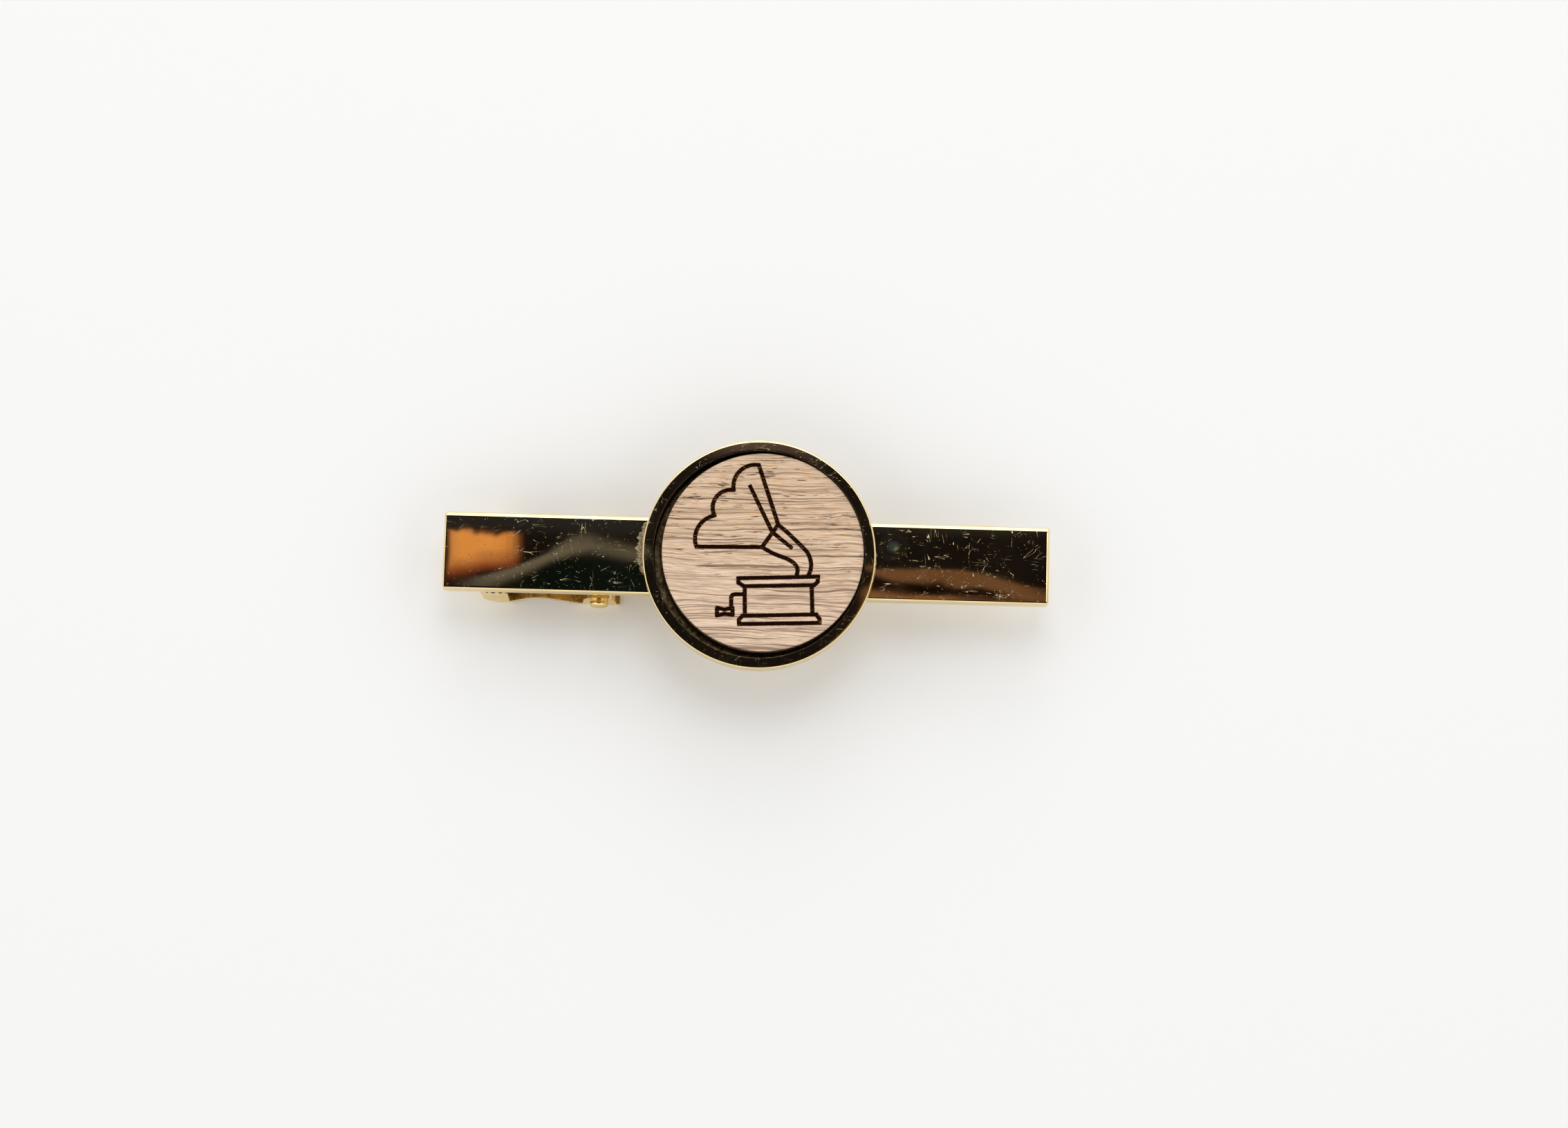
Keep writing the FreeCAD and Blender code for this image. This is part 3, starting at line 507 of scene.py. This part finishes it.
def nearest(points, lines):
    """Distance of each point to the nearest line, and how level that line runs there."""
    best = np.full(len(points), 1e9)
    level = np.zeros(len(points))
    for line in lines:
        for a, b in zip(line, line[1:]):
            a, d = np.array(a), np.array(b) - np.array(a)
            length = float(d @ d)
            t = np.clip(((points - a) @ d) / length, 0, 1)
            gap = np.linalg.norm(points - a - t[:, None] * d, axis=1)
            closer = gap < best
            best[closer] = gap[closer]
            level[closer] = abs(d[0]) / math.sqrt(length)
    return best, level


def relief(x, y):
    """Height of the open grain over the disc's face, in millimetres."""
    h = np.zeros_like(x)
    for rate, size, slope, phase in ((1.9, 4.0, 0.05, 0.3), (3.3, 3.0, -0.04, 1.9),
                                     (5.1, 2.5, 0.07, 4.2), (6.7, 2.0, 0.03, 2.6)):
        bend = 1.3 * np.sin(0.31 * x * rate / 3 + phase)
        h += size * np.sin(2 * np.pi * (rate * y + slope * x) + phase + bend)
    return h * 0.001


# Millimetres: the engraved stroke's width and depth, the scorched margin beside it, the clear gap between the
# stroke and the grid of points that carries the grain, that grid's spacing, the disc's chamfer, and how far
# its face lies under the CAD disc's top.
STROKE, CUT, SINGE, CLEARANCE = 0.34, 0.16, 0.08, 0.12
GRID_X, GRID_Y = 0.3, 0.085
CHAMFER, SINK = 0.05, 0.012


def burnt_disc():
    """The disc with its engraving cut in as grooves, grain on its face and a charred edge."""
    low, high = millimetres("wood_disc")
    centre, radius = (low + high) / 2, (high[0] - low[0]) / 2
    top, base = high[2], low[2]
    flat_radius, count = radius - CHAMFER, 320
    lines = motif()
    angles = np.linspace(0, 2 * math.pi, count, endpoint=False)
    verts = [(flat_radius * math.cos(a), flat_radius * math.sin(a)) for a in angles]
    loops = [list(range(count))]
    for width in (STROKE, STROKE + 2 * SINGE):
        for line in lines:
            outline = ribbon(line, width)
            loops.append(list(range(len(verts), len(verts) + len(outline))))
            verts += outline
    grooves = set(range(1, len(lines) + 1))
    grid = []
    for row, y in enumerate(np.arange(-flat_radius, flat_radius, GRID_Y)):
        for x in np.arange(-flat_radius, flat_radius, GRID_X):
            grid.append((x + GRID_X / 2 * (row % 2), y))
    grid = np.array(grid)
    gap, _ = nearest(grid, lines)
    keep = (np.hypot(grid[:, 0], grid[:, 1]) < flat_radius - 0.06) & (gap > STROKE / 2 + CLEARANCE)
    verts += [tuple(p) for p in grid[keep]]
    out = delaunay_2d_cdt([Vector(v) for v in verts], [], loops, 1, 1e-5)
    flat = np.array([tuple(v) for v in out[0]])
    sunk = [bool(grooves & set(origins)) for origins in out[5]]
    gap, level = nearest(flat, lines)
    fade = np.clip((flat_radius - np.hypot(flat[:, 0], flat[:, 1])) / 0.3, 0, 1)
    lift = relief(flat[:, 0], flat[:, 1]) * fade
    points, burn, groove, char = [], [], [], []
    index = {}

    def point(v, deep):
        if (v, deep) not in index:
            index[v, deep] = len(points)
            z = top - CUT + 0.4 * lift[v] if deep else top - SINK + lift[v]
            points.append((centre[0] + flat[v, 0], centre[1] + flat[v, 1], z))
            burn.append(1.0 if deep else float(np.clip(1 - (gap[v] - STROKE / 2) / SINGE, 0, 1)))
            groove.append(1.0 if deep else 0.0)
            char.append(float(level[v]))
        return index[v, deep]

    faces, owner = [], {}
    for triangle, deep in zip(out[2], sunk):
        faces.append(tuple(point(v, deep) for v in triangle))
        for a, b in zip(triangle, list(triangle[1:]) + [triangle[0]]):
            owner[a, b] = deep
    for (a, b), deep in owner.items():
        if deep and owner.get((b, a)) is False:
            faces.append((point(b, True), point(a, True), point(a, False), point(b, False)))
    rim = [(b, a) for (a, b) in owner if (b, a) not in owner]
    follow = {b: a for b, a in rim}
    start = rim[0][0]
    loop = [start]
    while follow[loop[-1]] != start:
        loop.append(follow[loop[-1]])
    last = [point(v, False) for v in loop]
    for grow, z, scorch in ((1.0, top - CHAMFER - SINK, 0.9), (1.0, base + CHAMFER, 1.0), (0.0, base, 1.0)):
        ring = []
        for v in loop:
            direction = flat[v] / np.linalg.norm(flat[v])
            place = direction * (flat_radius + grow * CHAMFER)
            ring.append(len(points))
            points.append((centre[0] + place[0], centre[1] + place[1], z))
            burn.append(scorch)
            groove.append(0.0)
            char.append(1.0)
        for i in range(len(loop)):
            j = (i + 1) % len(loop)
            faces.append((last[i], last[j], ring[j], ring[i]))
        last = ring
    faces.append(tuple(last))
    piece = add_mesh("burnt_disc", points, faces, smooth=False)
    for name, values in (("burn", burn), ("groove", groove), ("char", char)):
        piece.data.attributes.new(name, "FLOAT", "POINT").data.foreach_set("value", values)
    return piece


# ---------------------------------------------------------------- pieces on their bodies

finish_gold = gold("polished_gold", polish=0.014, haze=0.012, wave=0.005)
rim_gold = gold("rim_gold", polish=0.02, haze=0.022, wave=0.006, scratch=0.6)
materials = {"pressed_gold": pressed_gold(), "spring_wire": spring_wire(), "solder": solder(),
             "clear_glue": clear_glue(), "engraved_wood": engraved_wood()}


def stand_for(piece, node, body, material):
    """Puts a drawn piece on its body, in place of the CAD node if there is one."""
    piece.data.materials.append(material)
    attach(piece, body)
    if node:
        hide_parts(node)


stand_for(polished_bar(), "front_bar", "bar", finish_gold)
tray = polished_tray()
stand_for(tray, "bezel_tray", "bar", rim_gold)
# The tray's second slot holds the painted shade of the recess wall.
tray.data.materials.append(shaded_recess_gold())
stand_for(burnt_disc(), "wood_disc", "bar", materials["engraved_wood"])
left_bead = solder_bead(side=-1, spread=14.0, lean=4.5, reach=0.75, rise=0.3)
right_bead = solder_bead(side=1, spread=11.0, lean=0.0, reach=0.12, rise=0.2)
stand_for(left_bead, None, "bar", materials["solder"])
stand_for(right_bead, None, "bar", materials["solder"])

# The spring is copied as its own piece in plated wire, baked in place, and the CAD spring is hidden.
spring = bpy.data.objects.new("sprung_wire", nodes["torsion_spring"].data.copy())
bpy.context.scene.collection.objects.link(spring)
spring.data.materials.clear()
spring.data.materials.append(materials["spring_wire"])
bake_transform(spring)
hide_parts("torsion_spring")

for node, finish in (("tray_solder", "solder"), ("disc_glue", "clear_glue"), ("bracket_solder", "solder"),
                     ("clip_bracket", "pressed_gold"), ("hinge_pin", "pressed_gold"),
                     ("clip_lever", "pressed_gold")):
    nodes[node].data.materials.clear()
    nodes[node].data.materials.append(materials[finish])


# ---------------------------------------------------------------- camera

aim = Vector((0.0, 0.0, BAR_FACE * MM))
ELEVATION, DISTANCE = math.radians(78.0), 0.375
SIDESTEP, RISE = 0.00324, -0.00054
away = Vector((0.0, -math.cos(ELEVATION), math.sin(ELEVATION)))
upright = Vector((0.0, math.sin(ELEVATION), math.cos(ELEVATION)))
across = Vector((1.0, 0.0, 0.0))
right = across * math.cos(TILT) + upright * math.sin(TILT)
up = upright * math.cos(TILT) - across * math.sin(TILT)
eye = aim + right * SIDESTEP + up * RISE + away * DISTANCE
camera = bpy.data.objects.new("camera", bpy.data.cameras.new("camera"))
bpy.context.scene.collection.objects.link(camera)
camera.data.lens = 100.0
camera.data.sensor_width = 36.0
camera.data.clip_start = 0.01
camera.matrix_world = Matrix.Translation(eye) @ Matrix((right, up, away)).transposed().to_4x4()
bpy.context.scene.camera = camera
bpy.context.scene.view_settings.view_transform = "Standard"


# ---------------------------------------------------------------- studio

def ease(x, low, high):
    """A soft step from 0 at low to 1 at high."""
    t = np.clip((x - low) / (high - low), 0, 1)
    return t * t * (3 - 2 * t)


def seen(red, green, blue):
    """The glow that shows as this 0 to 255 colour in gold plate."""
    return [(c / 255) ** 2.2 / g for c, g in zip((red, green, blue), GOLD_MIRROR)]


def room_glow(x, y):
    """Colours of the dim room above, laid out in the bar's millimetres where its face shows them."""
    colour = np.empty(x.shape + (3,))
    colour[:] = seen(26, 21, 17)

    def lay(mask, paint):
        """Lays one colour over the rest, as strong as the mask."""
        colour[:] = colour * (1 - mask[..., None]) + np.array(paint) * mask[..., None]

    def across_band(centre, below, soft_below, above, soft_above):
        """A band in Y about a centre, full from below it to above it, with soft borders."""
        return ease(y - centre, -below - soft_below, -below) * (1 - ease(y - centre, above, above + soft_above))

    left = 1 - ease(x, -9.5, -7.5)
    ridge = np.interp(x, (-26, -24, -22.5, -21, -19.5, -18, -16.5, -15, -13.5, -12, -10.5, -9),
                      (-3.1, -3.0, -2.7, -2.05, -1.4, -0.7, 0.2, 0.85, 1.1, 0.85, 0.5, 0.3))
    lay(left * ease(y, 1.0, 2.6), seen(40, 37, 33))
    lay(left * ease(x, -24, -17) * (1 - ease(y, ridge - 1.6, ridge - 0.5)), seen(15, 21, 16))
    sweep = left * ease(x, -26, -21) * (1 - 0.3 * ease(x, -15.0, -12.0))
    lay(sweep * across_band(ridge, 0.1, 1.15, 0.15, 0.5), seen(98, 88, 69))

    head = np.interp(x, (-26, -24, -22.5, -21), (1.93, 1.88, 1.6, 1.45))
    head = head + 0.09 * np.sin(3.3 * x) + 0.05 * np.sin(7.1 * x)
    foot = np.interp(x, (-26, -24, -22.5, -21, -19), (-1.9, -1.6, -1.0, -0.75, -0.4))
    patch = (1 - ease(x, -20.5, -19.1)) * (1 - ease(y, head - 0.25, head + 0.2))
    ribs = 1 - 0.6 * ease(x, -21.3, -20.2) * (0.5 + 0.5 * np.sin(2 * np.pi * x / 0.37))
    lay(patch * ease(y, foot - 1.1, foot + 0.1), seen(120, 58, 33))
    lay(patch * ease(y, foot - 0.4, foot + 1.3) * ribs, seen(214, 136, 64))
    lay(patch * ease(y, foot, foot + 1.0) * (1 - ease(x, -26.0, -24.6)) * 0.6, seen(165, 108, 70))
    lay(patch * (1 - ease(x, -25.9, -25.5)), seen(60, 36, 22))

    right_side = ease(x, 9.5, 11.0)
    slide = np.interp(x, (11, 13, 16.3, 17.9, 19.5, 21, 22.7, 24.3, 26),
                      (-1.1, -1.2, -1.18, -1.35, -1.55, -1.7, -1.95, -2.35, -2.75))
    broad = np.interp(x, (11, 13, 17, 19, 22, 26), (0.15, 0.45, 0.45, 0.6, 0.6, 0.4))
    band = 1 - ease(np.abs(y - slide), broad - 0.05, broad + 0.3)
    lay(right_side * band * (1 - 0.5 * ease(x, 23.5, 26)), seen(104, 70, 43))
    lower = 1 - ease(y + 0.04 * np.sin(2 * x), -2.75, -2.45)
    lay(right_side * lower * (1 - 0.6 * ease(x, 17.0, 20.0)), seen(122, 80, 47))
    wave = np.interp(x, (11, 16.5, 18, 21, 23), (-1.95, -1.95, -2.25, -2.45, -2.75)) + 0.05 * np.sin(2.3 * x)
    lay(right_side * (1 - ease(np.abs(y - wave), 0.24, 0.42)) * (1 - ease(x, 21.0, 23.5)), seen(12, 8, 6))
    lay(right_side * ease(y, 2.2, 2.9) * 0.7, seen(44, 38, 31))

    spot = np.hypot(x - 12.56, y - 1.36)
    lay((1 - ease(spot, 0.3, 0.6)) * 0.9, seen(58, 62, 60))
    lay((1 - ease(np.hypot(x - 12.75, y - 1.12), 0.05, 0.22)), seen(150, 150, 80))
    lay((1 - ease(np.abs(spot - 1.0), 0.1, 0.3)) * 0.4, seen(48, 42, 34))
    lay(ease(y, 8.2, 9.8) * (1 - ease(np.abs(x - 1), 5, 9)), seen(84, 66, 54))
    return colour


# The card's height over the bar in metres, and the part of the bar's plane it serves in millimetres.
CARD_HEIGHT, CARD_X, CARD_Y = 0.5, 32, 15


def room_card():
    """A dim ceiling that only polished metal sees, so that the bar's face shows a room's soft shapes."""
    columns, rows = 320, 150
    xs, ys = np.meshgrid(np.linspace(-CARD_X, CARD_X, columns), np.linspace(-CARD_Y, CARD_Y, rows))
    scale = CARD_HEIGHT / (eye.z - aim.z)
    px = xs * MM + (xs * MM - eye.x) * scale
    py = ys * MM + (ys * MM - eye.y) * scale
    points = np.stack([px, py, np.full_like(px, aim.z + CARD_HEIGHT)], axis=-1).reshape(-1, 3) / MM
    faces = [(r * columns + c, r * columns + c + 1, (r + 1) * columns + c + 1, (r + 1) * columns + c)
             for r in range(rows - 1) for c in range(columns - 1)]
    card = add_mesh("room_card", points.tolist(), faces)
    shade = room_glow(xs, ys).reshape(-1, 3)
    layer = card.data.color_attributes.new("glow", "FLOAT_COLOR", "POINT")
    layer.data.foreach_set("color", np.hstack([shade, np.ones((len(shade), 1))]).astype(np.float32).ravel())
    s = Shader("room_card")
    light = s.add("ShaderNodeEmission", None, Strength=1.0,
                  Color=s.add("ShaderNodeVertexColor", {"layer_name": "glow"}).outputs[0])
    s.tree.links.new(light.outputs[0], s.tree.nodes["Material Output"].inputs[0])
    card.data.materials.append(s.material)
    card.visible_camera = card.visible_diffuse = card.visible_shadow = card.visible_transmission = False


def tabletop():
    """A wide, pale, matt plane under the clip."""
    far = 3000
    corners = [(-far, -far, 0), (far, -far, 0), (far, far, 0), (-far, far, 0)]
    plane = add_mesh("floor", corners, [(0, 1, 2, 3)], smooth=False)
    s = Shader("floor")
    s.set(Base_Color=rgb(0.92, 0.92, 0.92), Roughness=0.9, Specular_IOR_Level=0.1)
    plane.data.materials.append(s.material)


def area(name, place, target, size, power, colour):
    """A round lamp that faces a target."""
    lamp = bpy.data.lights.new(name, "AREA")
    lamp.shape, lamp.size, lamp.energy, lamp.color = "DISK", size, power, colour
    holder = bpy.data.objects.new(name, lamp)
    holder.location = place
    holder.rotation_euler = (Vector(target) - Vector(place)).to_track_quat("-Z", "Y").to_euler()
    bpy.context.scene.collection.objects.link(holder)


def sky():
    """A soft bright surround that dims overhead."""
    world = bpy.data.worlds.new("studio")
    bpy.context.scene.world = world
    world.use_nodes = True
    tree = world.node_tree
    place = tree.nodes.new("ShaderNodeTexCoord")
    split = tree.nodes.new("ShaderNodeSeparateXYZ")
    ramp = tree.nodes.new("ShaderNodeValToRGB")
    tree.links.new(place.outputs["Generated"], split.inputs[0])
    tree.links.new(split.outputs["Z"], ramp.inputs[0])
    ramp.color_ramp.interpolation = "EASE"
    stops = ((0.0, (0.92, 0.92, 0.92)), (0.22, (0.70, 0.69, 0.67)), (0.45, (1.36, 1.35, 1.33)),
             (0.78, (1.22, 1.21, 1.19)), (0.9, (0.012, 0.011, 0.010)))
    while len(ramp.color_ramp.elements) < len(stops):
        ramp.color_ramp.elements.new(0.5)
    for element, (spot, tint) in zip(ramp.color_ramp.elements, stops):
        element.position, element.color = spot, rgb(*tint)
    tree.links.new(ramp.outputs[0], tree.nodes["Background"].inputs[0])


room_card()
tabletop()
sky()
area("key", (0.02, 0.24, 0.56), (0.0, 0.0, 0.0), 0.3, 0.6, (0.93, 0.97, 1.0))
area("back", (0.0, 0.95, 0.42), (0.0, 0.0, 0.0), 0.6, 1.3, (1.0, 1.0, 1.0))
